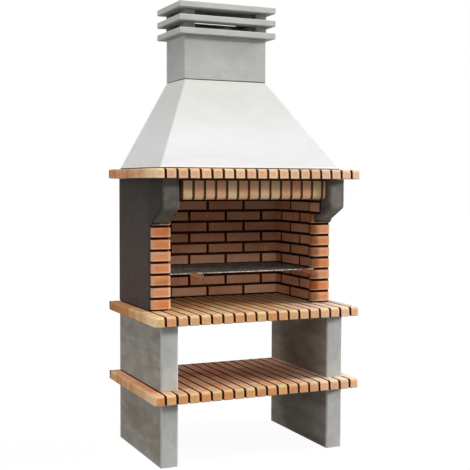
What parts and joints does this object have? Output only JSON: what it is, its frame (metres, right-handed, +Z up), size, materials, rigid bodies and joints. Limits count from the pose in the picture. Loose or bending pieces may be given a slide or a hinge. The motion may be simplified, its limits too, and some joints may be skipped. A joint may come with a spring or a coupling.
{
  "type": "outdoor masonry barbecue",
  "caption": "Free-standing masonry barbecue: brick slabs on concrete legs, a brick-lined firebox with a pull-out wire grate, and a white hood with a concrete chimney and cap.",
  "frame": {"origin": "on the ground under the middle of the bounding box", "axes": "+Z up, the open front faces -Y, +X to the right as seen from the front"},
  "size_m": [1.13, 0.771, 2.3405],
  "materials": {
    "slab_brick": "fired clay, matt, buff to orange",
    "lining_brick": "fired clay, matt, pink to brown",
    "pilaster_brick": "fired clay, matt, orange",
    "lintel_brick": "fired clay, matt, buff",
    "dark_mortar": "dark cement mortar, raked back",
    "leg_concrete": "grey cast concrete, matt, with fine pores",
    "wall_concrete": "charcoal cast concrete, matt",
    "flue_concrete": "light grey cast concrete, matt",
    "cap_concrete": "light grey cast concrete, matt",
    "white_render": "smooth white cement render",
    "bright_wire": "bright plated wire",
    "handle_wood": "turned, varnished"
  },
  "bodies": {
    "masonry": {"back_lining_lower_bricks": "lining_brick", "back_lining_mortar": "dark_mortar", "back_lining_upper_bricks": "lining_brick", "back_wall": "wall_concrete", "cap_lower_slab": "cap_concrete", "cap_middle_slab": "cap_concrete", "cap_top_slab": "cap_concrete", "chimney": "flue_concrete", "chimney_bed": "dark_mortar", "hearth_bricks": "slab_brick", "hearth_mortar": "dark_mortar", "hood": "white_render", "hood_bed": "dark_mortar", "left_corbel_lining_bricks": "lining_brick", "left_corbel_lining_mortar": "dark_mortar", "left_lining_bricks": "lining_brick", "left_lining_mortar": "dark_mortar", "left_pilaster_brick_1": "pilaster_brick", "left_pilaster_brick_2": "pilaster_brick", "left_pilaster_brick_3": "pilaster_brick", "left_pilaster_brick_4": "pilaster_brick", "left_pilaster_brick_5": "pilaster_brick", "left_pilaster_brick_6": "pilaster_brick", "left_pilaster_brick_7": "pilaster_brick", "left_pilaster_brick_8": "pilaster_brick", "left_pilaster_mortar": "dark_mortar", "left_side_wall": "wall_concrete", "lintel_bricks": "lintel_brick", "lintel_mortar": "dark_mortar", "lower_left_leg": "leg_concrete", "lower_right_leg": "leg_concrete", "mantel_bricks": "slab_brick", "mantel_mortar": "dark_mortar", "right_corbel_lining_bricks": "lining_brick", "right_corbel_lining_mortar": "dark_mortar", "right_lining_bricks": "lining_brick", "right_lining_mortar": "dark_mortar", "right_pilaster_brick_1": "pilaster_brick", "right_pilaster_brick_2": "pilaster_brick", "right_pilaster_brick_3": "pilaster_brick", "right_pilaster_brick_4": "pilaster_brick", "right_pilaster_brick_5": "pilaster_brick", "right_pilaster_brick_6": "pilaster_brick", "right_pilaster_brick_7": "pilaster_brick", "right_pilaster_brick_8": "pilaster_brick", "right_pilaster_mortar": "dark_mortar", "right_side_wall": "wall_concrete", "shelf_bricks": "slab_brick", "shelf_mortar": "dark_mortar", "upper_left_leg": "leg_concrete", "upper_right_leg": "leg_concrete"},
    "grate": {"grate_grid": "bright_wire", "grate_left_handle": "handle_wood", "grate_left_tang": "bright_wire", "grate_right_handle": "handle_wood", "grate_right_tang": "bright_wire"}
  },
  "joints": [
    {"name": "grate_slide", "type": "slide", "parent": "masonry", "child": "grate", "axis": [0, -1, 0], "range_m": [0, 0.5]}
  ]
}
